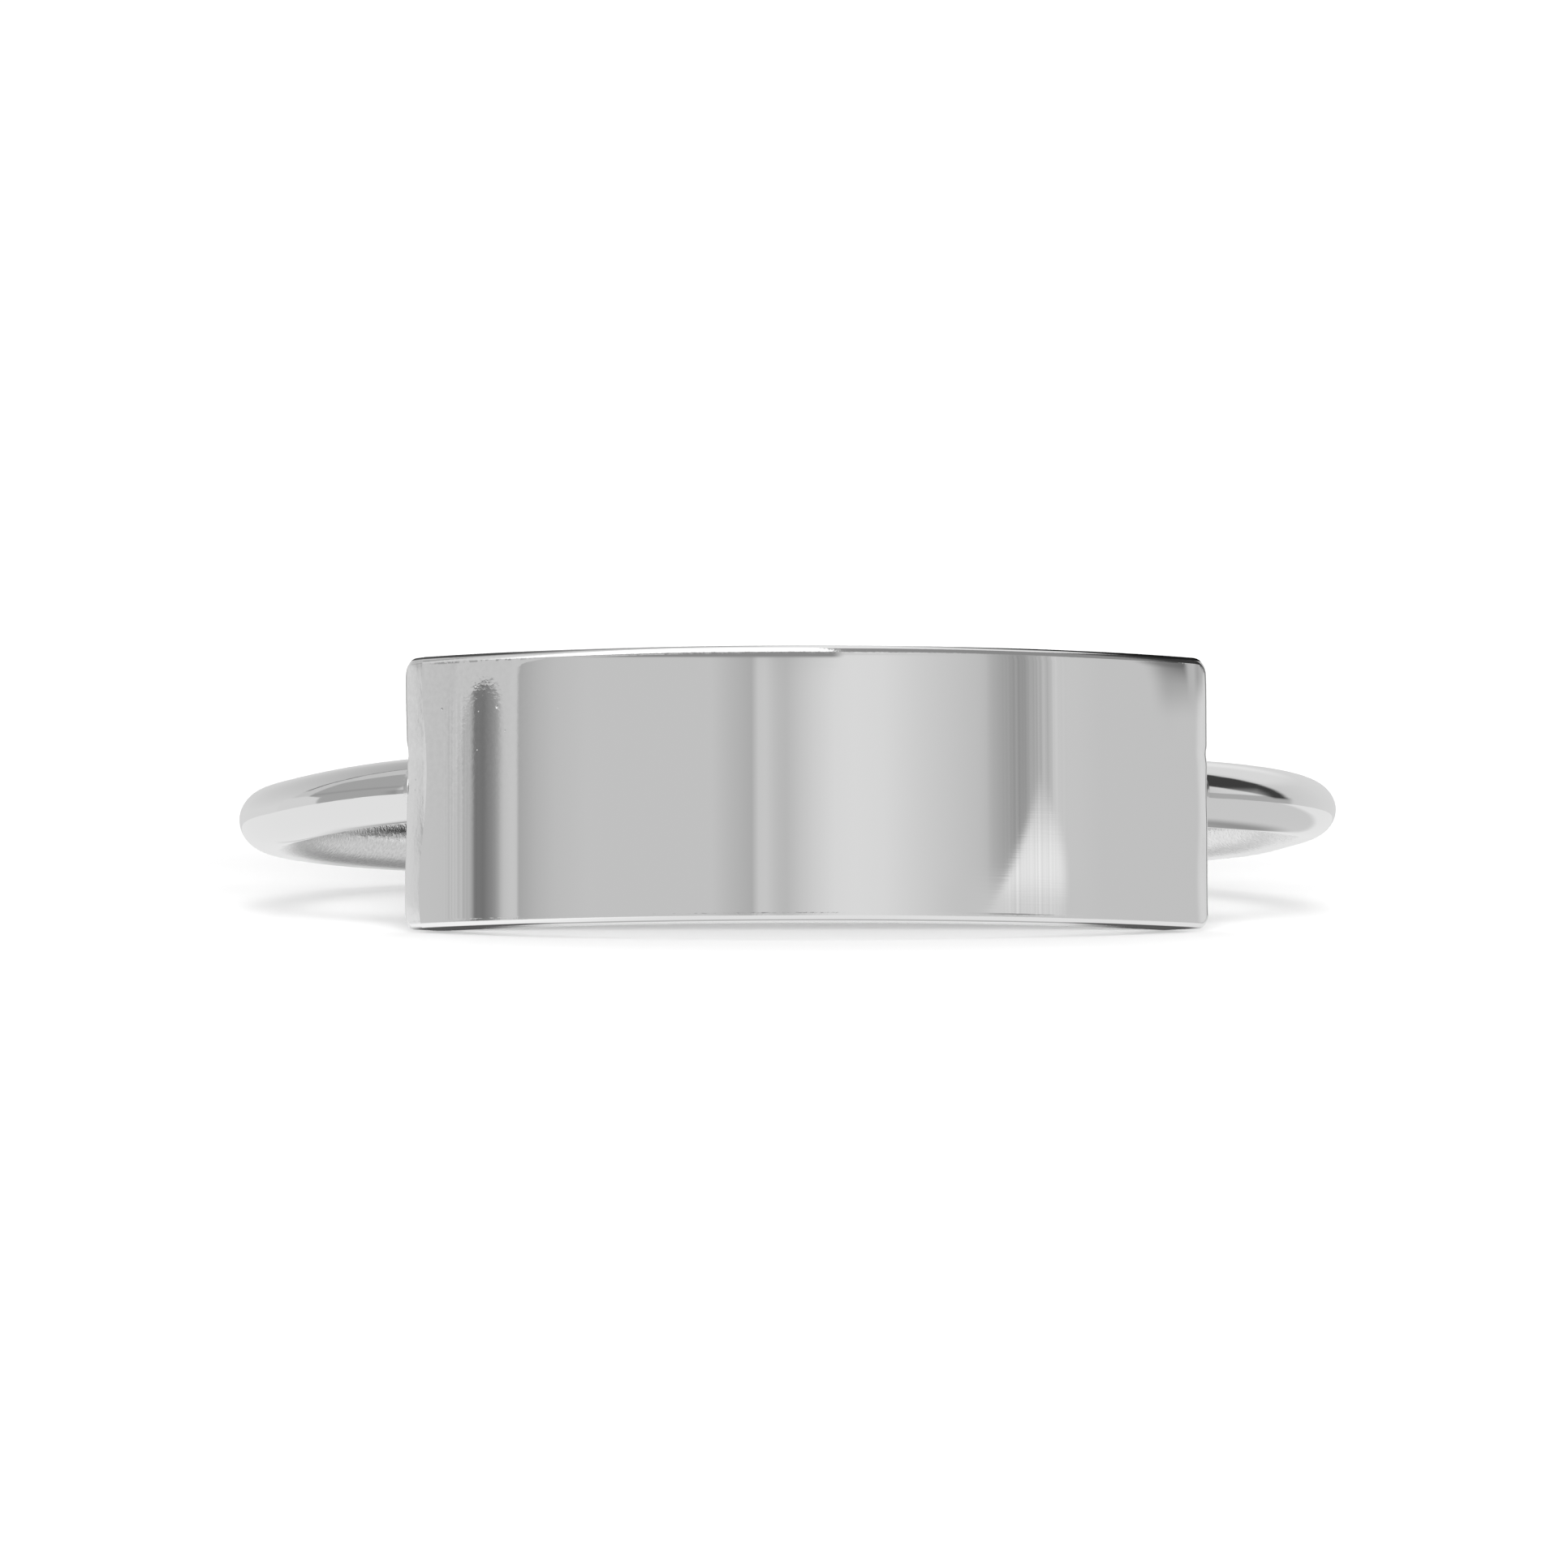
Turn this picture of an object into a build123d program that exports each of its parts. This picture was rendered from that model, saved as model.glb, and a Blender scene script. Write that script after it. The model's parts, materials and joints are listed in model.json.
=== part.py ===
# Stamping blank ring: a shank of round wire, soldered at both ends to a curved blank plate.
#
# The ring lies on its side, as it does by itself on a table: on the lower corners of the plate's two ends
# and on the wire behind them, so the plate leans back a little. The plate faces -Y, +X is to the right and
# +Z is up. The origin is at the middle of the base of the ring's box. All sizes are in millimetres.
from build123d import *
import os
from math import acos, atan2, cos, degrees, hypot, radians, sin

# Shank
inside_diameter = 17.35     # across the finger hole, US size 7
wire_diameter = 1.2         # round wire
shank_lap = 0.9             # each wire end reaches this far behind the plate, along the curve

# Stamping plate
plate_length = 15.8         # along the curve of its face
plate_height = 4.75         # along the finger
plate_thickness = 1.0       # sheet
plate_proud = 0.2           # its face stands this far outside the shank
corner_radius = 0.3         # the four corners, seen on the face
edge_radius = 0.13          # polished rounding of its edges
bevel_width = 0.45          # filed bevel along each short end, measured on the face
bevel_depth = 0.08          # how deep the bevel is at the end

# Solder
solder_width = 0.25         # the fillet's reach along the wire and over the plate's end
solder_bite = 0.01          # the fillet's thin edge lies this far inside the wire

# Worked out from the sizes above
wire_radius = wire_diameter / 2
shank_radius = inside_diameter / 2 + wire_radius
shank_outside = shank_radius + wire_radius
face_radius = shank_outside + plate_proud
back_radius = face_radius - plate_thickness
half_angle = degrees(plate_length / 2 / face_radius)
lap_angle = degrees(shank_lap / shank_radius)


def on_circle(radius, angle):
    """A point of the ring's plane, at an angle to the right of the plate's middle."""
    return (radius * sin(radians(angle)), -radius * cos(radians(angle)))


def end_frame(side, radius):
    """A plane on the plate's end face, its normal pointing along the wire; side is -1 left or 1 right."""
    angle = side * half_angle
    x, y = on_circle(radius, angle)
    along = (side * cos(radians(angle)), side * sin(radians(angle)), 0)
    return Plane(origin=(x, y, 0), x_dir=(0, 0, 1), z_dir=along)


def plate_blank():
    """The curved plate with round corners and rounded edges."""
    outline = Polyline(
        on_circle(face_radius, half_angle),
        on_circle(back_radius, half_angle),
    ) + ThreePointArc(
        on_circle(back_radius, half_angle),
        on_circle(back_radius, 0),
        on_circle(back_radius, -half_angle),
    ) + Polyline(
        on_circle(back_radius, -half_angle),
        on_circle(face_radius, -half_angle),
    ) + ThreePointArc(
        on_circle(face_radius, -half_angle),
        on_circle(face_radius, 0),
        on_circle(face_radius, half_angle),
    )
    plate = extrude(make_face(outline), plate_height / 2, both=True)
    corners = [
        edge for edge in plate.edges().filter_by(GeomType.LINE)
        if abs(edge.center().Z) > plate_height / 4
    ]
    plate = fillet(corners, corner_radius)
    rims = [
        edge for edge in plate.edges()
        if is_on_rim(edge, face_radius) or is_on_rim(edge, back_radius)
    ]
    return fillet(rims, edge_radius)


def is_on_rim(edge, radius):
    """True for an edge that lies on the plate's face or back, a cylinder of this radius."""
    points = [edge.position_at(share) for share in (0, 0.5, 1)]
    return all(abs(hypot(point.X, point.Y) - radius) < plate_thickness / 100 for point in points)


def end_bevel(side):
    """The metal that a file takes off one short end of the face."""
    bevel_angle = degrees(bevel_width / face_radius)
    inner = Vector(*on_circle(face_radius, side * (half_angle - bevel_angle)))
    slope = Vector(*on_circle(face_radius - bevel_depth, side * half_angle)) - inner
    outside = Vector(*on_circle(bevel_width, side * half_angle))
    wedge = make_face(Polyline(inner - slope, inner + slope * 3, inner + slope + outside, inner - slope))
    return extrude(wedge, plate_height, both=True)


def shank():
    """The round wire, from behind one end of the plate round to the other."""
    start = half_angle - lap_angle
    section = Plane.XZ * Pos(shank_radius, 0) * Circle(wire_radius)
    wire = Rot(Z=start - 90) * revolve(section, Axis.Z, 360 - 2 * start)
    for side in (-1, 1):
        x, y = on_circle(shank_radius, side * start)
        wire += Pos(x, y, 0) * Sphere(wire_radius)
    return wire


def solder(side):
    """The fillet of solder round the wire on one end face of the plate, filed flush with the shank."""
    wide = wire_radius + solder_width
    frame = end_frame(side, shank_radius)
    slope = frame * Pos(0, 0, solder_width / 2) * Cone(wide, wire_radius - solder_bite, solder_width)
    root = frame * Pos(0, 0, -edge_radius / 2) * Cylinder(wide, edge_radius)
    band = Cylinder(shank_outside, 2 * wide) - Cylinder(back_radius, 2 * wide)
    return (slope + root) & band


def rest_tilt():
    """The angle at which the ring lies: plate ends and wire both touch the table."""
    corner_angle = half_angle - degrees(corner_radius / back_radius)
    contact_depth = (back_radius + edge_radius) * cos(radians(corner_angle))
    drop = plate_height / 2 - edge_radius
    depth = shank_radius + contact_depth
    return degrees(acos((wire_radius - edge_radius) / hypot(drop, depth)) - atan2(depth, drop))


def ring_blank():
    """The whole ring as one soldered solid, lying at rest on its side."""
    ring = plate_blank() - end_bevel(-1) - end_bevel(1)
    ring += shank()
    ring += solder(-1)
    ring += solder(1)
    ring = Rot(X=-rest_tilt()) * ring
    box = ring.bounding_box()
    return Pos(-box.center().X, -box.center().Y, -box.min.Z) * ring


os.makedirs("parts", exist_ok=True)
blank = ring_blank()
export_step(blank, "parts/ring_blank.step")
print("tilt at rest", round(rest_tilt(), 3), "degrees")
print("plate half angle", round(half_angle, 3), "degrees")
print("volume", round(blank.volume, 3), "mm3")
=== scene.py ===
# %% [markdown]
# # Stamping blank ring
#
# This ring is a round silver wire, bent round a mandrel and soldered at both ends to a curved blank
# plate. A jeweller stamps letters into the plate, so it is left bare and polished like a mirror.
#
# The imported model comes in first, as a fixed frame. It gives the ring's place on the table, and
# everything below is built around it. The frame is in metres, and the shapes here are modelled in
# millimetres and scaled as they are put in place, because a ring's sizes are easier to read that way.

# %% Load the frame
import json
import bmesh
import bpy
from math import atan2, copysign, cos, degrees, exp, hypot, pi, radians, sin, sqrt
from mathutils import Matrix, Vector


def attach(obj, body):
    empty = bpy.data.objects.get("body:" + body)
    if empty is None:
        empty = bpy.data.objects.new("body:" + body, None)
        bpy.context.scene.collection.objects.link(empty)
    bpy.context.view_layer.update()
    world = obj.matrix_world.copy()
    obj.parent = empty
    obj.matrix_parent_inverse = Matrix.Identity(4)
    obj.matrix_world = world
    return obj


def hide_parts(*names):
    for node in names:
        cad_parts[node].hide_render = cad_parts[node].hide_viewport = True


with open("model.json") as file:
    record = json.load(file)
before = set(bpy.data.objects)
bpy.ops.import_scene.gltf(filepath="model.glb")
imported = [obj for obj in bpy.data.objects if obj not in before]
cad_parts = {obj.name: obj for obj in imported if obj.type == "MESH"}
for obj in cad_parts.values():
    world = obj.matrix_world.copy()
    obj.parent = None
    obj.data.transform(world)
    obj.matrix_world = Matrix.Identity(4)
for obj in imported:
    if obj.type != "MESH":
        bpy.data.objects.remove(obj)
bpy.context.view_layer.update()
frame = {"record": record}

MM = 0.001


# %% [markdown]
# ## How the ring lies
#
# A bar ring on a table rests on the two lower corners of its plate and on the wire behind them, so it
# leans back by about six degrees. It is far easier to model the ring upright, round the Z axis with the
# plate towards -Y, and to lean it back as the last step. The record names the finger hole's middle and
# axis, and they are all that this step needs.

# %% The ring's own frame
hole = next(mount for mount in frame["record"]["mounts"] if mount["name"] == "finger_hole")
hole_middle = Vector(hole["pos_m"])
lean = atan2(hole["axis"][1], hole["axis"][2])
lay_down = Matrix.Translation(hole_middle) @ Matrix.Rotation(-lean, 4, "X") @ Matrix.Scale(MM, 4)
print("the ring leans back by", round(degrees(lean), 2), "degrees")

# %% [markdown]
# ## The camera
#
# The photo was taken from far away, almost level with the table and a little to the left. A long lens at
# 200 mm gives the same flat perspective. The camera's place is worked out from its bearing, its height
# above the horizon and the point that it aims at, so each of them can be changed by itself. It has no
# shift and no depth of field, so it can be moved round the ring.

# %% Set up the camera
IMAGE_SIDE = 1932           # pixels of the photo, which is square
SENSOR = 36.0               # mm
camera_distance = 200.0     # mm from the point that it aims at
pixels_per_mm = 67.97       # in the photo, at that distance
camera_bearing = radians(-2.83)
camera_height = radians(2.53)
camera_roll = radians(0.11)
aim_right, aim_up = -0.037, 0.638   # mm, from the middle of the finger hole

back = Vector((
    sin(camera_bearing) * cos(camera_height),
    -cos(camera_bearing) * cos(camera_height),
    sin(camera_height),
))
right = Vector((cos(camera_bearing), sin(camera_bearing), 0)).normalized()
roll = Matrix.Rotation(camera_roll, 3, back)
right = roll @ right
up = back.cross(right)
aim = hole_middle + (right * aim_right + up * aim_up) * MM

camera = bpy.data.objects.new("camera", bpy.data.cameras.new("camera"))
camera.data.sensor_width = SENSOR
camera.data.lens = pixels_per_mm * camera_distance / IMAGE_SIDE * SENSOR
camera.data.clip_start = 0.01       # metres
camera.data.clip_end = 10
camera.matrix_world = Matrix.LocRotScale(
    aim + back * camera_distance * MM,
    Matrix((right, up, back)).transposed(),
    None,
)
bpy.context.scene.collection.objects.link(camera)
bpy.context.scene.camera = camera
print("lens", round(camera.data.lens, 1), "mm")

# %% [markdown]
# ## Arithmetic in a material
#
# A material is a net of nodes, and a formula in it soon needs dozens of Math nodes. Python lets a class
# say what plus and times mean, so a small class wraps a node's output, and a formula written in the usual
# way adds the nodes. Every other node comes from one method, which makes it, sets it up and links it.

# %% A class for the numbers of a material
class Value:
    """A node's output. Arithmetic on it adds Math nodes to its tree."""

    def __init__(self, shader, socket):
        self.shader = shader
        self.socket = socket

    def math(self, operation, *others):
        """One Math node, which works on this value and the others."""
        inputs = dict(enumerate((self,) + others))
        return self.shader.add("Math", {"operation": operation}, inputs)

    def __add__(self, other):
        return self.math("ADD", other)

    def __radd__(self, other):
        return self.math("ADD", other)

    def __sub__(self, other):
        return self.math("SUBTRACT", other)

    def __rsub__(self, other):
        return self.shader.add("Math", {"operation": "SUBTRACT"}, {0: other, 1: self})

    def __mul__(self, other):
        return self.math("MULTIPLY", other)

    def __rmul__(self, other):
        return self.math("MULTIPLY", other)

    def __truediv__(self, other):
        return self.math("DIVIDE", other)

    def __neg__(self):
        return self.math("MULTIPLY", -1.0)

    def __abs__(self):
        return self.math("ABSOLUTE")


# %% A class for the nodes of a material
class Shader:
    """The nodes of one material, or of the world."""

    def __init__(self, owner):
        owner.use_nodes = True
        self.tree = owner.node_tree
        self.tree.nodes.clear()

    def add(self, kind, settings=None, inputs=None, output=0):
        """Makes a node, sets it up and fills its sockets. Returns one of its outputs as a Value."""
        node = self.tree.nodes.new("ShaderNode" + kind)
        for name, setting in (settings or {}).items():
            if name == "stops":
                self.fill_ramp(node.color_ramp, setting)
            else:
                setattr(node, name, setting)
        for name, given in (inputs or {}).items():
            if isinstance(given, Value):
                self.tree.links.new(given.socket, node.inputs[name])
            else:
                node.inputs[name].default_value = given
        return Value(self, node.outputs[output]) if node.outputs else None

    def fill_ramp(self, ramp, stops):
        """Stops are pairs of a place from 0 to 1 and a grey level."""
        while len(ramp.elements) < len(stops):
            ramp.elements.new(1.0)
        for element, (place, level) in zip(ramp.elements, stops):
            element.position = place
            element.color = (level, level, level, 1)

    def step(self, value, start, end):
        """0 before start and 1 after end, or the other way round where end is the lower one."""
        low, high = min(start, end), max(start, end)
        levels = {"To Min": float(end < start), "To Max": float(end > start)}
        return self.add(
            "MapRange", {"interpolation_type": "SMOOTHSTEP"},
            {"Value": value, "From Min": low, "From Max": high, **levels},
        )

    def between(self, value, low, high, soft):
        """1 from low to high, with a soft edge on both sides."""
        rise = self.step(value, low - soft / 2, low + soft / 2)
        fall = self.step(value, high + soft / 2, high - soft / 2)
        return rise * fall

    def blend(self, base, top, mask):
        """The top number where the mask is 1, and the base where it is 0."""
        return self.add("Mix", {"data_type": "FLOAT"}, {"Factor": mask, "A": base, "B": top})

    def grey(self, level):
        """A number as a colour."""
        return self.add("CombineColor", None, {"Red": level, "Green": level, "Blue": level})

    def split(self, vector):
        """The x, y and z of a vector."""
        node = self.tree.nodes.new("ShaderNodeSeparateXYZ")
        self.tree.links.new(vector.socket, node.inputs[0])
        return [Value(self, output) for output in node.outputs]


# %% [markdown]
# ## The table and the daylight
#
# The ring lies on plain white paper in plain white light, and the picture is exposed so that the paper
# just turns pure white. What is left of it is the soft shadow where the metal keeps the light off. The
# paper is one large matt square. The metal doesn't reflect it, because it would be too bright there.

# %% Lay the white paper
PAPER_WHITE = 0.8
PAPER_HALF = 1.5            # metres


def show_mesh(name, bm):
    """Makes an object of a finished bmesh."""
    mesh = bpy.data.meshes.new(name)
    bm.to_mesh(mesh)
    bm.free()
    thing = bpy.data.objects.new(name, mesh)
    bpy.context.scene.collection.objects.link(thing)
    return thing


def paper_material(name, white):
    """Plain matt paper."""
    material = bpy.data.materials.new(name)
    shader = Shader(material)
    paper = shader.add("BsdfDiffuse", None, {"Color": (white, white, white, 1)})
    shader.add("OutputMaterial", None, {"Surface": paper})
    return material


bm = bmesh.new()
bmesh.ops.create_grid(bm, x_segments=1, y_segments=1, size=PAPER_HALF)
table = show_mesh("paper", bm)
table.data.materials.append(paper_material("white_paper", PAPER_WHITE))
table.visible_glossy = False
print("the paper is", 2 * PAPER_HALF, "m wide")

# %% [markdown]
# The shadow tells where the light came from. It has a clear outline under the wire and a pale haze before
# the plate, so most of the light came from low white walls all round, and a little from above. Each of
# these lights is a patch of the sky, the same on the left and on the right. The Standard view keeps white
# as white. Light that the metal throws on the paper is noisy to render and hardly shows, so it is off.

# %% Light it from all round
SEEN_WHITE = 1.1            # strength of the white that the camera sees beyond the paper
SIDE_FADE = 4               # degrees over which a patch of light fades out sideways
EDGE_FADE = 1               # and at its lower and upper edges
TO_DEGREES = 180 / pi

# azimuth from the camera's side to the back, elevation, both from and to in degrees, and strength
walls = (
    (-20, 20, 0, 6, 365),
    (20, 60, 0, 6, 82),
    (60, 120, 0, 6, 8.7),
    (-20, 20, 6, 18, 8.5),
    (60, 120, 6, 18, 8.3),
    (120, 170, 6, 18, 9.7),
    (-20, 20, 36, 60, 4.4),
    (160, 200, 36, 60, 2.5),
)


def bearing(shader, direction):
    """The azimuth from the camera's side, positive to the right, and the elevation, both in degrees."""
    across, towards, high = shader.split(direction)
    azimuth = across.math("ARCTAN2", -towards) * TO_DEGREES
    return azimuth, high.math("ARCSINE") * TO_DEGREES


world = bpy.data.worlds.new("daylight")
bpy.context.scene.world = world
sky = Shader(world)
sky_azimuth, sky_elevation = bearing(sky, sky.add("TexCoord", output="Generated"))
from_front = abs(sky_azimuth)
strength = 0.0
for near_side, far_side, low, high, power in walls:
    patch = sky.between(from_front, near_side, far_side, SIDE_FADE)
    strength = strength + power * patch * sky.between(sky_elevation, low, high, EDGE_FADE)
strength = sky.blend(strength, SEEN_WHITE, sky.add("LightPath", output="Is Camera Ray"))
daylight = sky.add("Background", None, {"Color": (1, 1, 1, 1), "Strength": strength})
sky.add("OutputWorld", None, {"Surface": daylight})

world.cycles_visibility.glossy = False
bpy.context.scene.cycles.caustics_reflective = False
bpy.context.scene.view_settings.view_transform = "Standard"
print("the daylight comes from", len(walls), "patches of the sky")

# %% [markdown]
# ## The light tent
#
# Polished silver has no look of its own: it shows what stands round it. A jewellery photographer puts a
# ring in a tent of white cloth and hangs black cards in it, which draw the metal's form with their
# reflections. Here the tent is a large ball round the ring which only reflections see. Its shade is a
# formula of the direction: the azimuth from the camera, positive to the right, and the elevation above
# the table. The cloth's shade changes slowly along its wall, and seams and a stand show as narrow bands.

# %% The shade of the tent's wall
# azimuth in degrees and shade, from the back round the left side to the front
left_side = (
    (-180, 0.57), (-97, 0.57), (-84, 0.58), (-77, 0.56), (-73, 0.53), (-71.6, 0.46), (-70.3, 0.42),
    (-69.6, 0.20), (-67.5, 0.18), (-65, 0.28), (-64.1, 0.36), (-62.9, 0.55), (-61, 0.60), (-59.8, 0.60),
    (-59.2, 0.41), (-55, 0.49), (-51, 0.54), (-44, 0.575), (-18, 0.575), (-14, 0.505), (-9.6, 0.44),
    (-8.7, 0.60), (-7, 0.61), (-4.5, 0.53), (-2.7, 0.515), (0, 0.59),
)
# and from the front round the right side to the back
right_side = (
    (0, 0.59), (3, 0.66), (7, 0.73), (11, 0.745), (17, 0.73), (25, 0.65), (31, 0.60), (37, 0.55),
    (38.8, 0.515), (39.6, 0.455), (42.5, 0.38), (45.5, 0.33), (47.4, 0.325), (48.2, 0.40), (50.6, 0.43),
    (51.5, 0.54), (52.2, 0.46), (53.0, 0.47), (53.8, 0.65), (55, 0.60), (59, 0.595), (65, 0.575),
    (90, 0.57), (94, 0.60), (100, 0.66), (113, 0.73), (118, 0.66), (125, 0.61), (134, 0.64),
    (150, 0.68), (180, 0.70),
)


def wall_shade(shader, azimuth, stops):
    """The shade of one side of the wall."""
    first, last = stops[0][0], stops[-1][0]
    places = [((angle - first) / (last - first), shade) for angle, shade in stops]
    return shader.add("ValToRGB", {"stops": places}, {"Fac": (azimuth - first) / (last - first)})


tent_material = bpy.data.materials.new("tent_cloth")
tent = Shader(tent_material)
place = tent.add("TexCoord", output="Object")
azimuth, elevation = bearing(tent, tent.add("VectorMath", {"operation": "NORMALIZE"}, {0: place}))
left_wall = wall_shade(tent, azimuth, left_side)
right_wall = wall_shade(tent, azimuth, right_side)
wall = tent.blend(left_wall, right_wall, tent.step(azimuth, 0.0, 0.01))
print("the tent's wall has", len(left_side) + len(right_side), "stops of shade")

# %% [markdown]
# Three things break the wall's bands. The stand on the left ends at a certain height, so its dark band
# has a round top, and the grey seam beside it has a slanting one. A bright board leans against the cloth
# on the right, widest at its foot, where it melts into the table. And the cloth hangs in fine folds next
# to both, which show as hairlines. Heights near both are measured from the line that a level row of the
# plate reflects, which falls off towards the sides.

# %% The stand's top, the bright board and the folds
CLOTH_SHADE = 0.58
SEAM_SHADE = 0.59
BOARD_SHADES = (0.50, 0.83, 0.66)       # at its top, its middle and its foot
STAND, SEAM, BOARD = -67.4, -59.2, 48   # azimuths, degrees
LINE_HEIGHT, LINE_FALL = 6.3, 0.1       # degrees at the stand, and the fall per degree to the left
STAND_HEIGHT = 0.96         # degrees above that line
BOARD_HEIGHT = 8.115        # degrees above the table
TOP_FADE = 0.06             # degrees that the stand's and the seam's tops fade up and down
FOLD_DEPTH = 0.35           # share of the shade


def hanging(scale, detail):
    """Noise from 0 to 1 that changes with the azimuth alone, so its streaks hang straight down."""
    inputs = {"W": azimuth, "Scale": scale, "Detail": detail}
    return tent.add("TexNoise", {"noise_dimensions": "1D"}, inputs)


above_line = elevation - (azimuth + 67) * LINE_FALL - LINE_HEIGHT
roundness = (azimuth - STAND) * (azimuth - STAND) * 0.02
over_stand = above_line + roundness - STAND_HEIGHT
stand_top = tent.step(over_stand, -TOP_FADE, TOP_FADE) * tent.between(azimuth, -74.5, -61.5, 1.5)
wall = tent.blend(wall, CLOTH_SHADE, stand_top)
seam_height = 1.12 + 0.32 * (azimuth - SEAM).math("MAXIMUM", 0.0)
over_seam = above_line - seam_height
seam_top = tent.step(over_seam, -TOP_FADE, TOP_FADE) * tent.between(azimuth, -60.5, -50, 1)
wall = tent.blend(wall, SEAM_SHADE, seam_top)

aside = azimuth - BOARD
over_board = elevation + aside * (0.0816 + 0.00074 * aside) - BOARD_HEIGHT
board_left = 50.0 + over_board * (8 - 8 * over_board)
board_right = 51.8 - over_board * (16 + 13 * over_board)
board = tent.step(azimuth - board_left, -0.7, 1.8) * tent.step(board_right - azimuth, -0.9, 2.2)
board = board * tent.step(over_board, 0.06, -0.02) * tent.between(azimuth, 26, 60, 4)
under_board = tent.step(over_board, -0.50, -0.76) * tent.between(azimuth, 31, 60, 12)
wall = tent.blend(wall, CLOTH_SHADE, under_board)
top_shade, middle_shade, foot_shade = BOARD_SHADES
board_shade = tent.blend(top_shade, middle_shade, tent.step(over_board, 0.06, -0.52))
board_shade = tent.blend(board_shade, foot_shade, tent.step(over_board, -0.57, -0.80))
wall = tent.blend(wall, board_shade, board)

left_folds = tent.between(azimuth, -77, -69, 3) * (1 - tent.step(above_line, 0.55, 0.85))
folds = (hanging(1.6, 2.0) - 0.5) * (left_folds + tent.between(azimuth, 43, 55, 5))
wall = wall * (1 + FOLD_DEPTH * folds)
print("the stand is at azimuth", STAND, "degrees and the board at", BOARD)

# %% [markdown]
# The sides and the back of the tent show in the wire. A grey panel stands on the left, with a thin dark
# pole beyond it, and further round the cloth gets darker with its height. The wall's foot is dark at both
# sides, and both sides end in the same grey behind the ring.

# %% The panel, the pole and the sides
POLE_SHADE = 0.20
LOW_CLOTH_SHADE = 0.68
PANEL_SHADE, PANEL_BAND_SHADE = 0.385, 0.33
RIGHT_HIGH_SHADE, BACK_HIGH_SHADE = 0.73, 0.82
FOOT_SHADE = 0.42
FOOT_DIM = 0.35             # share of the light that is missing at the foot of both sides
BACK_SHADE = 0.66           # straight behind the ring, where the two sides meet

back_cloth = 0.70 - 0.0065 * elevation.math("MAXIMUM", 0.0)
wall = tent.blend(wall, back_cloth, tent.step(azimuth, -131, -134.5))
pole = tent.between(azimuth, -133, -131.2, 0.9) * tent.step(elevation, 13, 17)
wall = tent.blend(wall, POLE_SHADE, pole)
low_edge = -117.2 - 1.4 * (elevation - 2).math("MAXIMUM", 0.0)
low_cloth = tent.step(azimuth, -137, -135) * tent.step(azimuth - low_edge, 0.7, -0.7)
low_cloth = low_cloth * tent.step(elevation, 9, 6)
wall = tent.blend(wall, LOW_CLOTH_SHADE, low_cloth)
panel_edge = -124 + (elevation - 23.5).math("MAXIMUM", 0.0)
panel = tent.step(azimuth - panel_edge, -0.8, 0.8) * tent.between(azimuth, -130, -90.5, 2)
panel = panel * tent.step(elevation, 46, 42) * (1 - low_cloth)
panel_shade = tent.blend(PANEL_SHADE, PANEL_BAND_SHADE, tent.between(elevation, 5.5, 9.5, 3))
wall = tent.blend(wall, panel_shade, panel)

right_foot = tent.step(elevation, 1.5, -1.5) * tent.between(azimuth, 88, 127, 4)
wall = tent.blend(wall, FOOT_SHADE, right_foot)
high_cloth = tent.step(azimuth, 120, 130) * tent.step(elevation, 13, 22)
high_shade = tent.blend(RIGHT_HIGH_SHADE, BACK_HIGH_SHADE, tent.step(azimuth, 148, 160))
wall = tent.blend(wall, high_shade, high_cloth)
both_feet = tent.step(elevation, -0.3, -2) * tent.between(abs(azimuth), 55, 92, 8)
wall = wall * (1 - FOOT_DIM * both_feet)
wall = tent.blend(wall, BACK_SHADE, tent.step(abs(azimuth), 164, 179))
print("the panel and the sides bring the tent to", len(tent.tree.nodes), "nodes")

# %% [markdown]
# Above the wall hangs a soft white light on the left. A black flag keeps the light off on the right, and
# its slanting end draws the dark streak in the wire. It also draws the dark line along the top of the
# plate's right half. A thin dark gap is left between the wall and the light, and a smaller flag hangs at
# the back.

# %% The light overhead and the black flags
GAP_SHADE = 0.27
LIGHT_SHADES = (0.66, 1.25, 0.80)       # at its left end, in its middle and on the right
BACK_FLAG_SHADE = 0.30
TOP_SHADE = 0.85            # of the tent's top, above the light
FLAG_SHADE, FLAG_BLACK = 0.27, 0.05     # of the flag's near end, and of the rest of it


def glow(material, shader, shade):
    """Ends a material whose surface gives off this shade. It is never sampled as a lamp."""
    light = shader.add("Emission", None, {"Color": shader.grey(shade), "Strength": 1.0})
    shader.add("OutputMaterial", None, {"Surface": light})
    material.cycles.emission_sampling = "NONE"


stitches = tent.step(hanging(0.9, 3.0), 0.40, 0.56)
gap = tent.between(elevation, 11.3, 14.4, 1.2) * tent.between(azimuth, -80, 8, 3)
gap = gap * tent.blend(1.0, stitches, tent.step(azimuth, -54, -58))
wall = tent.blend(wall, GAP_SHADE, gap)

left_light, middle_light, right_light = LIGHT_SHADES
overhead = tent.blend(left_light, middle_light, tent.step(azimuth, -76, -56))
overhead = tent.blend(overhead, right_light, tent.step(azimuth, 7, 8))
above_wall = tent.step(elevation, 14.0, 16.0) * tent.between(azimuth, -90, 112, 6)
shade = tent.blend(wall, overhead, above_wall)
back_flag = tent.between(elevation, 48, 63, 3) * tent.step(azimuth, -103, -109)
shade = tent.blend(shade, BACK_FLAG_SHADE, back_flag)
shade = tent.blend(shade, TOP_SHADE, tent.step(elevation, 62, 80))

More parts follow.
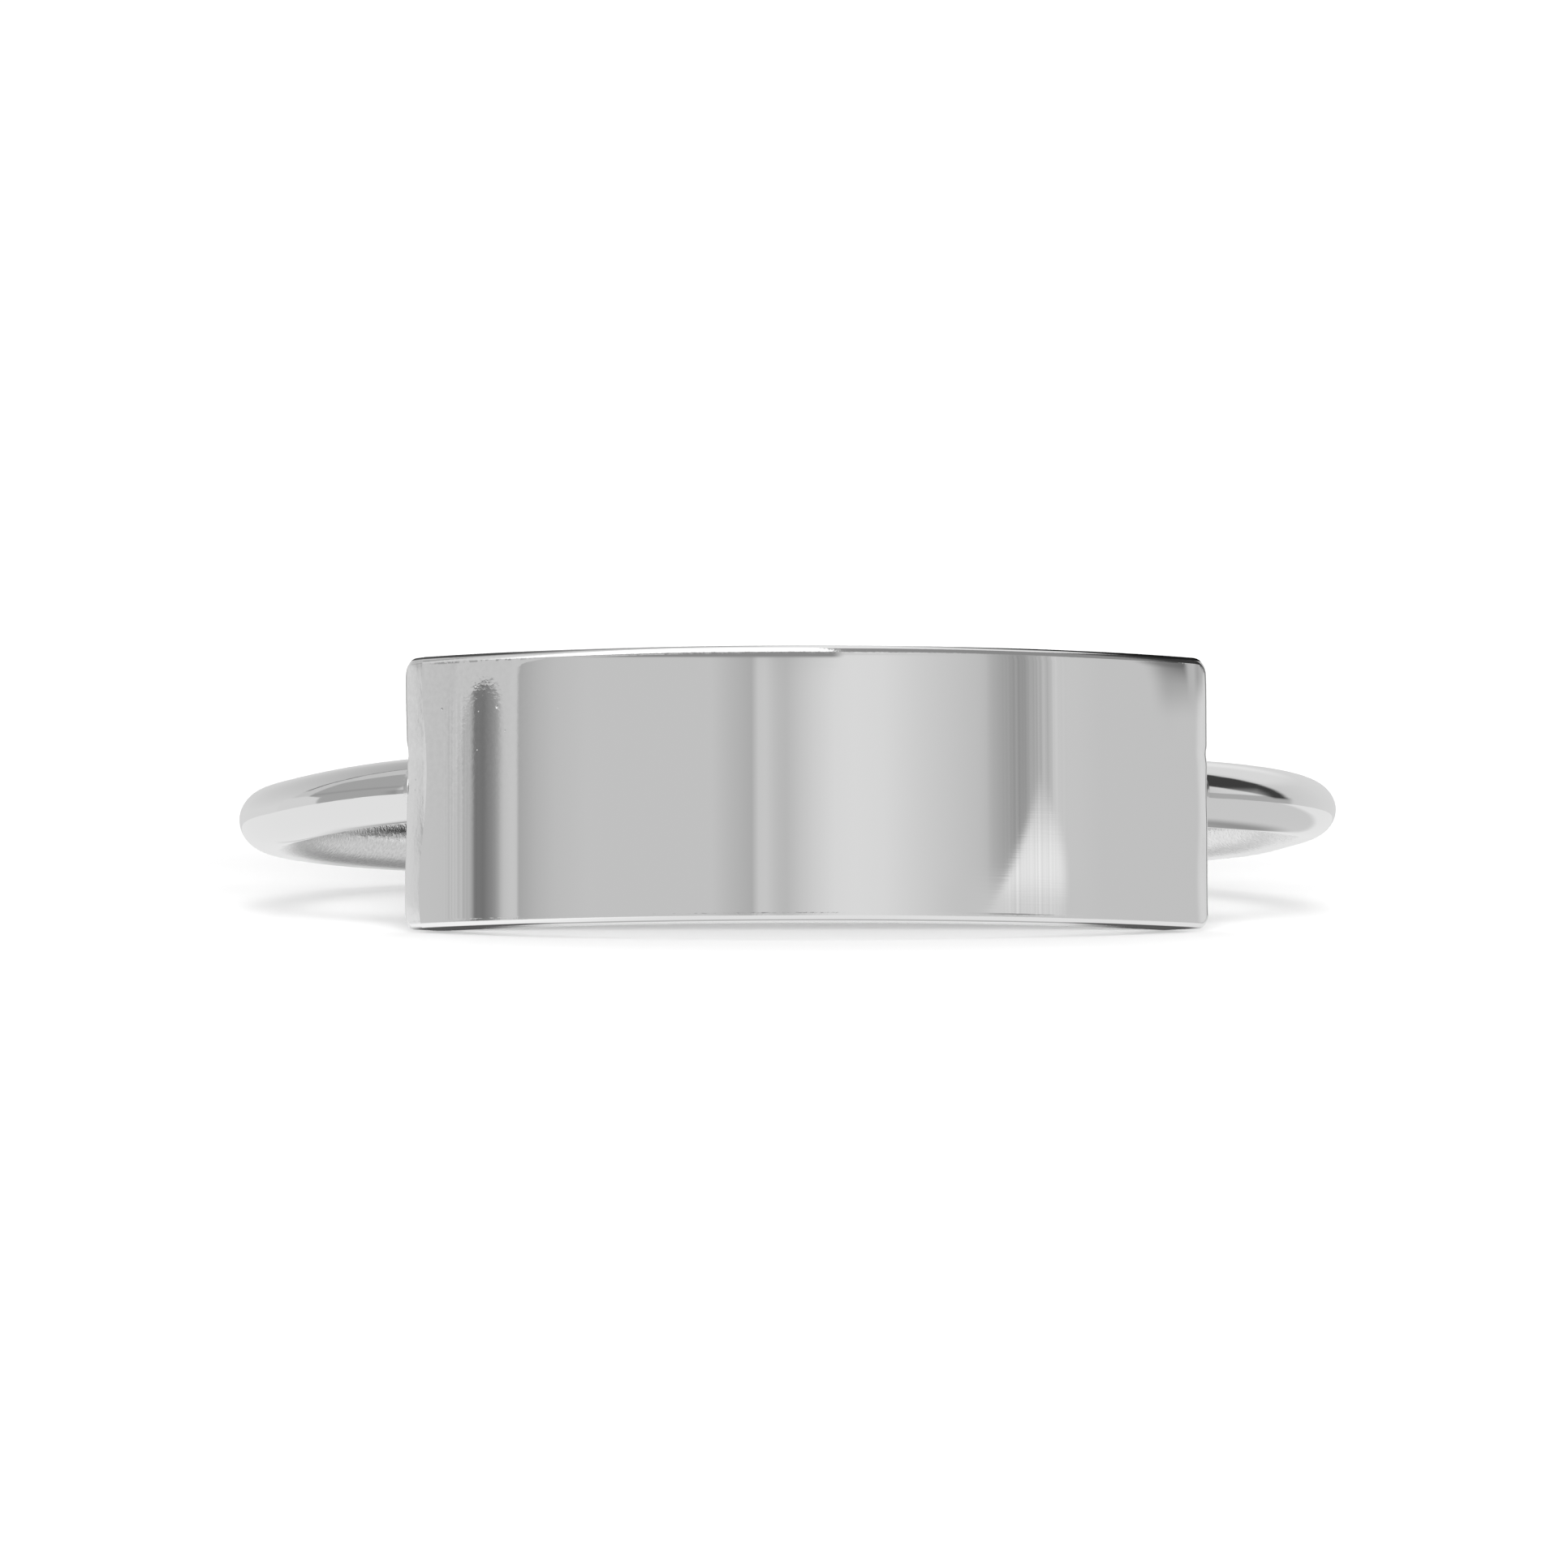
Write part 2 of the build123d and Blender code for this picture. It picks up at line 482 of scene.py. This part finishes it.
flag_foot = tent.blend(13.0, 6.3, tent.step(azimuth, 60, 84))
flag_foot = tent.blend(flag_foot, 10.5 - 0.8 * (azimuth - 102), tent.step(azimuth, 88, 93))
flag_foot = flag_foot.math("MAXIMUM", -3.0)
slant = azimuth + 0.12 * elevation
flag = tent.step(azimuth, 6, 9) * tent.step(slant, 127.0, 123.0)
flag = flag * tent.step(elevation - flag_foot, -1.5, 2.5) * tent.step(elevation, 57, 50)
black = tent.step(azimuth, 75, 98) * tent.step(elevation, 4, 15)
black = black.math("MAXIMUM", tent.step(slant, 112, 120))
shade = tent.blend(shade, tent.blend(FLAG_SHADE, FLAG_BLACK, black), flag)
glow(tent_material, tent, shade)
print("the tent's shade takes", len(tent.tree.nodes), "nodes")

# %% [markdown]
# The tent itself is a ball. It must not show in the picture or light the paper, which have the white
# world for that, so only shiny surfaces see it. A disc of paper close to the ring is there for the
# reflections too, in place of the real paper, which is exposed to pure white.

# %% Hang the tent
TENT_RADIUS = 1.0           # metres
REFLECTED_PAPER = 19.5      # mm, radius of the paper that the metal shows

bm = bmesh.new()
bmesh.ops.create_icosphere(bm, subdivisions=4, radius=TENT_RADIUS)
ball = show_mesh("light_tent", bm)
ball.data.materials.append(tent_material)

bm = bmesh.new()
bmesh.ops.create_circle(bm, cap_ends=True, segments=64, radius=REFLECTED_PAPER * MM)
disc = show_mesh("paper_in_reflections", bm)

for thing in (ball, disc):
    thing.visible_camera = False
    thing.visible_diffuse = False
    thing.visible_shadow = False
print("only reflections see the tent and", REFLECTED_PAPER, "mm of paper round the ring")

# %% [markdown]
# The shade of that paper is painted on it as a formula of the place, and the disc gives it off by itself.
# It is painted grey where the ring keeps the light off, brighter before the plate's left half, and
# darkest in a painted copy of the ring's own shadow.

# %% The shade of the near paper
NEAR_SHADE = 0.80           # of the paper in the reflections
SHADED = 0.61               # the same inside the ring's left half, and beside its right end

near_material = bpy.data.materials.new("near_paper")
near = Shader(near_material)
place = near.add("TexCoord", output="Object")
place = near.add("VectorMath", {"operation": "SCALE"}, {0: place, "Scale": 1 / MM})
distance = near.add("VectorMath", {"operation": "LENGTH"}, {0: place}, output="Value")
paper_x, paper_y = near.split(place)[:2]
side_x = abs(paper_x)
front = near.step(paper_y, -3, -5)
left_part = near.between(paper_x, -8.4, -0.5, 1.0) * near.step(paper_y, -2.8, -0.6)
right_part = near.step(paper_x, 7, 8.5) * near.step(paper_y, 3, 1)
paper_shade = near.blend(NEAR_SHADE, SHADED, left_part)
paper_shade = near.blend(paper_shade, SHADED, right_part)
# painted brighter paper before the plate's left half
before_plate = near.step(distance, 9.9, 10.05) * front * near.step(side_x, 8.6, 7.7)
lit_shade = NEAR_SHADE + 0.15 * near.step(paper_x, -2.5, -6)
paper_shade = near.blend(paper_shade, lit_shade, before_plate)

# painted shadow of the ring: under the wire at the back, inside the ring and under the plate
under_wire = 0.5 * near.between(distance, 8.95, 9.75, 0.5) * near.step(paper_y, 1.5, 5)
under_wire = under_wire * near.blend(1.0, 0.56, near.step(paper_x, -2, 2))
inside_left, inside_right = near.step(distance, 8.4, 6.6), near.step(distance, 10.0, 8.8)
inside = near.blend(inside_left, inside_right, near.step(paper_x, -1, 1))
inside = 0.5 * inside * near.between(paper_y, -5, 2.5, 1.5)
under_plate = near.between(distance, 8.8, 10.0, 0.1) * front * near.step(side_x, 7.1, 6.7)
under_plate = under_plate * near.blend(0.4, 0.88, near.between(side_x, 4.7, 7.0, 0.8))
paper_shade = paper_shade * (1 - under_wire) * (1 - inside) * (1 - under_plate)
glow(near_material, near, paper_shade)
disc.data.materials.append(near_material)
print("the near paper's shade takes", len(near.tree.nodes), "nodes")

# %% [markdown]
# ## Bending
#
# The maker cuts the plate flat and the wire straight, and bends both round a mandrel. The model is made
# the same way: each piece is shaped flat, with X along it, Z across it and Y pointing at the finger, and
# one function bends it. The flat places are kept in an attribute, in millimetres, so that a material can
# follow the metal's own length.

# %% Bend a piece and lay it down
def bend(bm, radius, start=0.0):
    """Bends a piece round the finger. Y = 0 gets this radius, and X = 0 the angle start."""
    for vert in bm.verts:
        turn = start + vert.co.x / radius
        out = radius - vert.co.y
        vert.co = (out * sin(turn), -out * cos(turn), vert.co.z)


def finish_piece(name, bm, radius, start=0.0, move=Matrix.Identity(4)):
    """Keeps the flat places, bends the piece, lays it on the table and makes its object."""
    flat = [tuple(vert.co) for vert in bm.verts]
    bend(bm, radius, start)
    bmesh.ops.transform(bm, matrix=lay_down @ move, verts=bm.verts)
    bmesh.ops.recalc_face_normals(bm, faces=bm.faces)
    for face in bm.faces:
        face.smooth = True
    piece = show_mesh(name, bm)
    attribute = piece.data.attributes.new("flat", "FLOAT_VECTOR", "POINT")
    attribute.data.foreach_set("vector", [number for point in flat for number in point])
    piece.data.calc_loop_triangles()
    print(name, "has", len(piece.data.loop_triangles), "triangles")
    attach(piece, "root")
    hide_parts("ring_blank")
    return piece


# %% [markdown]
# ## The plate
#
# The plate is a strip of sheet. A block gets its four corners rounded first, and then the rims of its
# face and its back, as a polishing wheel rounds them.

# %% Cut the plate
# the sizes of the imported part, in mm
inside_diameter = 2 * hole["dims"]["r_mm"]
wire_diameter = 1.2
plate_length = 15.8
plate_height = 4.75
plate_thickness = 1.0
plate_proud = 0.2           # the face stands this far outside the shank
corner_radius = 0.3
edge_radius = 0.13          # of the rims
wire_radius = wire_diameter / 2
shank_radius = inside_diameter / 2 + wire_radius
face_radius = shank_radius + wire_radius + plate_proud
half_length, half_height = plate_length / 2, plate_height / 2
ROUND_STEPS = 8             # faces across each rounded edge


def goes_through(edge):
    """True for an edge that runs from the face to the back."""
    return abs(edge.verts[0].co.y - edge.verts[1].co.y) > plate_thickness / 2


def bevel(bm, edges, offset):
    """Rounds these edges."""
    bmesh.ops.bevel(
        bm, geom=edges, offset=offset, offset_type="OFFSET", segments=ROUND_STEPS,
        profile=0.5, affect="EDGES", material=-1, clamp_overlap=False,
    )


bm = bmesh.new()
bmesh.ops.create_cube(bm, size=1)
bmesh.ops.scale(bm, vec=(plate_length, plate_thickness, plate_height), verts=bm.verts)
bmesh.ops.translate(bm, vec=(0, plate_thickness / 2, 0), verts=bm.verts)
bevel(bm, [edge for edge in bm.edges if goes_through(edge)], corner_radius)
bevel(bm, [edge for edge in bm.edges if not goes_through(edge)], edge_radius)
print("the block has", len(bm.faces), "faces")

# %% [markdown]
# A bend needs columns, and they are close together at the ends, where the finer forms are. The column
# where the left bevel will begin is marked as a sharp edge, so that the bevel keeps a crisp line.

# %% Cut it into columns
LEFT_BEVEL, RIGHT_BEVEL = 0.60, 0.40    # mm of the face that are filed
END_ZONE = 0.75             # mm at each end that get fine columns
COLUMN, FINE_COLUMN = 0.12, 0.03        # mm
COLUMN_CLEAR = 0.01         # mm between the last column and the rim
SAME_PLACE = 1e-4           # mm
ON_CUT = 1e-5               # mm, a corner this near to the plane counts as on it


def cut(bm, place, normal):
    """Cuts the whole piece along a plane."""
    everything = bm.verts[:] + bm.edges[:] + bm.faces[:]
    bmesh.ops.bisect_plane(bm, geom=everything, dist=ON_CUT, plane_co=place, plane_no=normal)


def spread(inner, outer, coarse, fine):
    """Places from -outer to outer: coarse steps inside, and fine ones beyond inner on both sides."""
    coarse_steps = round(2 * inner / coarse)
    fine_steps = round((outer - inner) / fine)
    places = [-inner + 2 * inner * i / coarse_steps for i in range(coarse_steps + 1)]
    beyond = [inner + (outer - inner) * (i + 1) / fine_steps for i in range(fine_steps)]
    return sorted([-place for place in beyond] + places + beyond)


last_column = half_length - edge_radius - COLUMN_CLEAR
columns = spread(half_length - END_ZONE, last_column, COLUMN, FINE_COLUMN)
for along in columns:
    cut(bm, (along, 0, 0), (1, 0, 0))

crease = min(columns, key=lambda along: abs(along + half_length - LEFT_BEVEL))
for edge in bm.edges:
    if all(abs(vert.co.x - crease) < SAME_PLACE and vert.co.y < edge_radius for vert in edge.verts):
        edge.smooth = False
print("plate cut into", len(columns), "columns, and the left bevel begins at", round(crease, 3), "mm")

# %% [markdown]
# The wheel did not reach the lower rim of the face as well as the upper one, nor the middle of the upper
# one as well as its ends, so the rounding is smaller there. Each point of a rim moves outwards along its
# own line from the rounding's middle.

# %% Sharpen the rims
SHARP_RIM = 0.09            # mm, the smaller rounding
SHARP_MIDDLE = (2.0, 5.5)   # mm from the plate's middle, where the upper rim changes to the larger one
TINY = 1e-6                 # mm, as good as nothing


def smooth(value, start, end):
    """0 before start and 1 after end, with a soft change between them."""
    share = min(max((value - start) / (end - start), 0), 1)
    return share * share * (3 - 2 * share)


def near_rim(along, height):
    """How far a place of the face is from the plate's outline, and which way the outline faces there."""
    sideways, upwards = copysign(1, along), copysign(1, height)
    across = abs(along) - (half_length - corner_radius)
    up = abs(height) - (half_height - corner_radius)
    if across > 0 and up > 0:
        reach = hypot(across, up)
        return corner_radius - reach, across / reach * sideways, up / reach * upwards
    if across > up:
        return corner_radius - across, sideways, 0
    return corner_radius - up, 0, upwards


def sharpen(bm, radius):
    """Gives the lower rim of the face a smaller rounding, and the middle of the upper rim too."""
    for vert in bm.verts:
        along, depth, height = vert.co
        inward, side, upward = near_rim(along, height)
        share = max(-upward, 0) + max(upward, 0) * (1 - smooth(abs(along), *SHARP_MIDDLE))
        new_radius = edge_radius + (radius - edge_radius) * share
        out, front = edge_radius - inward, edge_radius - depth
        if min(out, front) < TINY or new_radius == edge_radius:
            continue
        # the new rounding's middle is this much further out and forward, and the point's line meets the
        # new rounding, or the straight stretch beside it, at this length
        core = edge_radius - new_radius
        reach = hypot(out, front)
        out, front = out / reach, front / reach
        middle = core * (out + front)
        length = middle + sqrt(max(middle * middle - 2 * core * core + new_radius ** 2, 0))
        if min(length * out, length * front) < core:
            length = edge_radius / max(out, front)
        outward = length * out - (edge_radius - inward)
        vert.co = (along + outward * side, edge_radius - length * front, height + outward * upward)


sharpen(bm, SHARP_RIM)
print("sharper rims", SHARP_RIM, "mm, the others", edge_radius, "mm")

# %% [markdown]
# Rows let the face roll off near its long edges. One more row keeps it flat down to its lower rim.

# %% Cut it into rows
EDGE_ZONE = 0.5             # mm at each long edge that get fine rows
ROW, FINE_ROW = 0.075, 0.033            # mm
ROW_CLEAR = 0.004           # mm between the last row and the rim
LOWEST_ROW = 0.098          # mm above the lower edge

last_row = half_height - edge_radius - ROW_CLEAR
rows = spread(half_height - EDGE_ZONE, last_row, ROW, FINE_ROW)
for height in [LOWEST_ROW - half_height] + rows:
    cut(bm, (0, 0, height), (0, 0, 1))
print("and", len(rows) + 1, "rows, which makes", len(bm.faces), "faces")

# %% [markdown]
# The short ends are filed by hand. The bevel's inner edge wanders, and it is wider on the left. The wheel
# has also taken a little more off the two upper corners of the face, which shows as a soft roll-off.

# %% What the file and the wheel take off
def bevel_start(side, height):
    """How far from the end the filed bevel begins."""
    if side < 0:
        return LEFT_BEVEL + 0.05 * sin(height * 1.9 + 0.9) - 0.10 * smooth(-height, 0.4, 2.2)
    return RIGHT_BEVEL + 0.03 * sin(height * 2.6 - 0.8)


def roll_off(along, height):
    """How deep the wheel has gone near the face's upper edge, most at the corners."""
    from_edge = half_height - edge_radius - height
    left, right = smooth(-along, 4.2, 7.0) * 0.7, smooth(along, 5.9, 7.4) * 2.4
    hollow = min(max(1 - from_edge / 0.08, 0), 1.6)
    wide = max(0.26 * left + 0.34 * right, TINY)
    down = 0.012 * (left + right) * exp(-(from_edge + edge_radius) * (left + right) / wide)
    return down + 0.0011 * hollow * hollow


def nick(side, height):
    """How far a nick of the outline goes into the short end."""
    if side < 0:
        return 0.035 * smooth(height, 0.95, 0.75) * smooth(height, 0.55, 0.62)
    worn = 0.012 * smooth(abs(height), 0.5, 0.2)
    return 0.03 * smooth(height, 0.85, 0.70) * smooth(height, 0.55, 0.65) + worn


print("at mid-height the left bevel begins", round(bevel_start(-1, 0), 2), "mm from the end")

# %% [markdown]
# Every corner of the mesh moves by what is taken off there. The columns on both sides of the crease move
# with it, so that it can wander, and the whole left end moves out a trace.

# %% File the ends and round the upper corners
LEFT_SLOPE, RIGHT_SLOPE = 0.37, 0.10    # of the filed bevels
LEFT_EXTRA = 0.085          # mm that the plate is longer on the left
CREASE_PULL = 0.45          # mm on each side of the crease that move with it
END_PULL = 0.7              # mm at each end that follow a nick or the longer end

for vert in bm.verts:
    along, depth, height = vert.co
    side = -1 if along < 0 else 1
    if side < 0:
        pull = bevel_start(side, height) - half_length - crease
        along += pull * max(1 - abs(along - crease) / CREASE_PULL, 0)
        vert.co.x = along
    filed = max(abs(along) - (half_length - bevel_start(side, height)), 0)
    down = LEFT_SLOPE * filed if side < 0 else RIGHT_SLOPE * filed * smooth(filed, -0.1, 0.25)
    vert.co.y += (down + roll_off(along, height)) * (1 - depth / plate_thickness)
    at_end = smooth(abs(along), half_length - END_PULL, half_length)
    vert.co.x -= side * at_end * (nick(side, height) - (LEFT_EXTRA if side < 0 else 0))

plate = finish_piece("blank_plate", bm, face_radius)

# %% [markdown]
# ## The wire
#
# A straight wire with rounded ends is a ball whose halves are pulled apart. The long edges between them
# are cut into many short ones, so that the wire can bend. It is long enough for its ends to reach a
# little way behind the plate.

# %% Cut the wire
shank_lap = 0.9             # mm that each end reaches behind the plate
WIRE_SIDES, CAP_RINGS = 56, 16
SHANK_STEPS = 420
half_angle = half_length / face_radius
start_angle = half_angle - shank_lap / shank_radius
shank_length = shank_radius * 2 * (pi - start_angle)

bm = bmesh.new()
bmesh.ops.create_uvsphere(bm, u_segments=WIRE_SIDES, v_segments=CAP_RINGS, radius=wire_radius)
bmesh.ops.rotate(bm, matrix=Matrix.Rotation(pi / 2, 3, "Y"), verts=bm.verts)
for side in (-1, 1):
    half = [vert for vert in bm.verts if vert.co.x * side > TINY]
    bmesh.ops.translate(bm, vec=(side * shank_length / 2, 0, 0), verts=half)
long_edges = [edge for edge in bm.edges if edge.calc_length() > shank_length / 4]
bmesh.ops.subdivide_edges(bm, edges=long_edges, cuts=SHANK_STEPS // 2, use_grid_fill=True)
print("the wire is", round(shank_length, 2), "mm long and has", len(bm.faces), "faces")

# %% [markdown]
# The bend turns the wire into a shank that is open at the front. A handmade shank is never quite true.
# This one leans by a third of a degree, is a trifle wider than it is deep, and its wire has been hammered
# a little flat. Its ends are bent back to the middle of the plate. On the right the wire is thicker at
# its end than further on, and a hammer has taken a trace off its underside.

# %% Bend the shank
WIRE_FLATTEN = 0.94         # the wire's height against its depth
SHANK_WIDER = 1.006         # the shank's width against its depth
SHANK_LEAN = radians(-0.31)
SHANK_SHIFT = (0.03, 0, 0.036)          # mm
LEFT_LIFT, RIGHT_LIFT = 0.125, -0.02    # mm that the ends are bent upwards
LIFT_REACH = 5              # mm beyond the lap over which this dies away
HAMMERED = 0.033            # mm that the wire's middle rises where its underside is hammered off
RIGHT_THICK, RIGHT_THIN = 0.05, 0.07    # shares: thicker at the right end, and how much this drops
shank_skew = (
    Matrix.Translation(SHANK_SHIFT)
    @ Matrix.Rotation(SHANK_LEAN, 4, "Y")
    @ Matrix.Diagonal((SHANK_WIDER, 1, WIRE_FLATTEN, 1))
)

# the bend starts behind the ring, so the straight wire's positive half becomes the left one
for vert in bm.verts:
    from_end = shank_length / 2 - abs(vert.co.x)
    if vert.co.x < 0:
        hammered = smooth(from_end, 5, 8) * smooth(from_end, 12, 9.5)
        vert.co.z += HAMMERED * hammered * (1 - vert.co.z / wire_radius)
        thicker = RIGHT_THICK - RIGHT_THIN * smooth(from_end, 2, 7)
        vert.co.z *= 1 + thicker * smooth(from_end, 20, 10)
    lift = LEFT_LIFT if vert.co.x > 0 else RIGHT_LIFT
    vert.co.z += lift * (1 - smooth(from_end, shank_lap, shank_lap + LIFT_REACH))
print("the shank's left end is bent upwards by", LEFT_LIFT, "mm")
shank = finish_piece("shank_wire", bm, shank_radius, pi, shank_skew)

# %% [markdown]
# ## The solder
#
# Where the wire meets the plate's end, the solder has run into the corner and left a small hollow fillet
# above and below the wire. It is a collar round the wire: a ring that is extruded along the wire in a few
# steps, each narrower than the one before.

# %% Run the solder into the corners
solder_width = 0.12         # mm along the wire
SOLDER_ROOT = 0.03          # mm that the collar begins inside the plate's end
SOLDER_RISE = 0.06          # how far the fillet climbs over the plate's end
SOLDER_BITE = 0.012         # how far its thin edge lies inside the wire
SOLDER_STEPS = 8
COLLAR_SIDES = 48


def solder_reach(around, share):
    """How far the fillet stands off the wire, most above and below it."""
    outside = max(-cos(around), 0)
    hollow = (1 - share) ** 2.2
    return SOLDER_RISE * hollow * (1 - 0.85 * outside ** 0.6) - SOLDER_BITE * share


def solder_collar(side):
    """The fillet at one end of the plate; side is -1 left or 1 right."""
    bm = bmesh.new()
    bmesh.ops.create_circle(bm, cap_ends=True, segments=COLLAR_SIDES, radius=wire_radius)
    bmesh.ops.rotate(bm, matrix=Matrix.Rotation(pi / 2, 3, "Y"), verts=bm.verts)
    ring = bm.edges[:]
    layers = [(bm.verts[:], 0.0)]
    for number in range(1, SOLDER_STEPS + 1):
        extruded = bmesh.ops.extrude_edge_only(bm, edges=ring)["geom"]
        ring = [part for part in extruded if isinstance(part, bmesh.types.BMEdge)]
        verts = [part for part in extruded if isinstance(part, bmesh.types.BMVert)]
        layers.append((verts, number / SOLDER_STEPS))
    bmesh.ops.holes_fill(bm, edges=ring)
    lift = LEFT_LIFT if side < 0 else RIGHT_LIFT
    for verts, share in layers:
        for vert in verts:
            around = atan2(vert.co.z, vert.co.y)
            radius = wire_radius + solder_reach(around, share)
            along = side * (share * solder_width - SOLDER_ROOT)
            vert.co = (along, radius * cos(around), radius * sin(around) + lift)
    name = "solder_left" if side < 0 else "solder_right"
    return finish_piece(name, bm, shank_radius, side * half_angle, shank_skew)


solder = [solder_collar(side) for side in (-1, 1)]

# %% [markdown]
# ## Polished silver
#
# Silver is a metal, so it has no colour under its shine: the base colour tints what it reflects. Most of
# the rest is the trace of the hand that polished it, and the plate's rims also get painted dark lines.
# Each material gets the flat place of a point in millimetres, so a mark can be put where it is in the
# photo, and a relief is written in micrometres. A mirror shows even the smallest relief: a slope of one
# degree moves a reflection by two.

# %% A class for silver
SILVER = 0.92
# the colour of the painted dark lines on the plate
PAINTED_DARK_BLACK = (0.002, 0.002, 0.002, 1)
MICROMETRE = 0.000001       # in metres


class Silver(Shader):
    """A silver material. Its marks are placed by the flat place of the metal, in millimetres."""

    def __init__(self, name):
        self.material = bpy.data.materials.new(name)
        super().__init__(self.material)
        self.place = self.add("Attribute", {"attribute_name": "flat"}, output="Vector")

    def grain(self, scale, detail=2.0):
        """Noise from 0 to 1, with this many spots in a millimetre along, through and across the metal."""
        stretched = self.add("Mapping", None, {"Vector": self.place, "Scale": scale})
        return self.add("TexNoise", None, {"Vector": stretched, "Scale": 1.0, "Detail": detail})

    def finish(self, roughness, relief, shine=1.0, painted_dark_lines=None):
        """The relief is in micrometres. Where painted dark lines are given, matt black is mixed over the
        metal.
        """
        bump = self.add("Bump", None, {"Height": relief, "Strength": 1.0, "Distance": MICROMETRE})
        surface = self.add("BsdfPrincipled", None, {
            "Base Color": self.grey(SILVER * shine), "Metallic": 1.0,
            "Roughness": roughness, "Normal": bump,
        })
        # painted dark lines: matt black mixed over the metal
        if painted_dark_lines:
            painted_dark_surface = self.add("BsdfDiffuse", None, {"Color": PAINTED_DARK_BLACK})
            surface = self.add("MixShader", None, {0: painted_dark_lines, 1: surface, 2: painted_dark_surface})
        self.add("OutputMaterial", None, {"Surface": surface})
        return self.material


# %% [markdown]
# The plate is a mirror on its face, with a mottled skin towards the upper left corner, where the wheel
# has run dry, and a few pits. Its filed ends, its rims and its back are duller and uneven.

# %% The plate's relief and roughness
# place along and across the face, radius, and depth, all in mm
pits = (
    (-6.90, 1.43, 0.030, 0.0040), (-6.18, 1.80, 0.028, 0.0035), (-5.74, 1.42, 0.034, 0.0040),
    (-6.12, 1.36, 0.014, 0.0020), (-6.15, 0.69, 0.014, 0.0020), (-5.58, 1.00, 0.018, 0.0016),
    (-7.60, 0.24, 0.022, 0.0030), (-7.62, 0.06, 0.018, 0.0024), (-4.55, 1.36, 0.012, 0.0008),
)

face = Silver("plate_silver")
along, depth, height = face.split(face.place)
left_end, right_end = face.step(along, -7.28, -7.42), face.step(along, 7.35, 7.6)
rim = face.step(abs(height), half_height - 0.15, half_height - 0.11)
behind = face.step(depth, 0.2, 0.5)
skin = face.step(along, -4.5, -6.4) * face.step(height, -1.6, 1.2)

relief = 0.26 * skin * face.grain((12, 12, 12)) + 0.015 * face.grain((0.8, 30, 30))
relief = relief + (1.6 * left_end + 0.5 * right_end) * face.grain((9, 9, 6))
relief = relief + 0.9 * rim * face.grain((14, 14, 14))
relief = relief + 2.0 * behind * face.grain((2, 20, 20), 4.0)
for x, z, radius, deep in pits:
    spot = face.add("CombineXYZ", None, {"X": along - x, "Z": height - z})
    reach = face.add("VectorMath", {"operation": "LENGTH"}, {0: spot}, output="Value")
    relief = relief - deep / MM * face.step(reach, radius, 0) * (1 - behind)

patches = face.grain((0.7, 0.7, 0.7), 3.0)
roughness = 0.014 + 0.016 * patches + 0.10 * left_end + 0.04 * right_end + 0.05 * rim + 0.12 * behind
print("the plate's face has", len(pits), "pits")

# %% [markdown]
# A painted dark reflection runs in the upper rim towards both ends and down the left end, and a dotted
# dark line is painted below the upper rim on the left. A rim reflects at such a shallow angle that a dark
# base colour wouldn't show in it, so the black is a matt surface mixed over the metal. The base colour is
# also dimmed near the upper right corner. A thin smudge dims the upper right corner.

# %% The painted dark lines and the dimmed corner
LEFT_END = -half_length - LEFT_EXTRA

# painted dark reflection along the upper rim, wider towards both ends
line_width = 0.028 + 0.018 * face.step(along, -4.5, -6.0) + 0.037 * face.step(along, 4.5, 6.8)
upper_line = face.step(height - half_height + line_width, -0.012, 0.008)
upper_line = upper_line * (0.85 * face.step(along, -3.4, -5.8) + face.step(along, 1.0, 4.0))
# painted dark reflection down the left end
left_line = face.step(along, LEFT_END + 0.14, LEFT_END + 0.08)
left_line = left_line * face.blend(0.15, 0.6, face.step(height, 0.5, 0.8))
# a dotted dark line below the upper rim on the left
dots = face.between(height, half_height - 0.155, half_height - 0.125, 0.03)
dots = dots * face.between(along, -7.1, -5.2, 0.4) * face.step(depth, 0.1, 0.05)
dots = 0.45 * dots * face.step(face.grain((11, 11, 11)), 0.46, 0.56)
# all the painted dark lines, kept off the plate's back
painted_dark_lines = upper_line.math("MAXIMUM", left_line) * face.step(depth, 0.35, 0.20) + dots

# the base colour is dimmed near the upper right corner
corner_dimming = 0.16 * face.between(along, 6.6, 7.55, 0.5) * face.step(height, 1.2, 1.8)
corner_dimming = corner_dimming + 0.30 * face.between(along, 7.5, 7.72, 0.15) * face.step(height, 1.5, 2.1)
shine = 1 - 0.16 * skin * (face.grain((10, 10, 10)) - 0.5) - corner_dimming * (1 - behind)
plate.data.materials.append(face.finish(roughness, relief, shine, painted_dark_lines))
print("plate_silver has", len(face.tree.nodes), "nodes")

# %% [markdown]
# The wire was drawn through a plate of holes, which leaves faint lines along it. The polishing wheel does
# not reach its inner side, which has stayed grainy. The solder is duller still.

# %% The wire's silver and the solder's
drawn = Silver("wire_silver")
along, depth, height = drawn.split(drawn.place)
inner_side = drawn.step(depth, 0.0, 0.3)
lines = drawn.grain((0.5, 16, 16), 3.0)
frost = drawn.grain((16, 16, 16), 3.0)
relief = 0.6 * lines + 8.0 * inner_side * frost
roughness = 0.04 + 0.03 * lines + 0.10 * inner_side * (0.6 + 0.8 * drawn.grain((3, 3, 3), 3.0))
shine = 1 - 0.5 * inner_side * (frost - 0.5)
shank.data.materials.append(drawn.finish(roughness, relief, shine))

fillet = Silver("solder_silver")
relief = 4.0 * fillet.grain((7, 7, 7), 3.0)
roughness = 0.12 + 0.12 * fillet.grain((5, 5, 5))
solder_material = fillet.finish(roughness, relief)
for piece in solder:
    piece.data.materials.append(solder_material)
print("wire_silver has", len(drawn.tree.nodes), "nodes and solder_silver", len(fillet.tree.nodes))
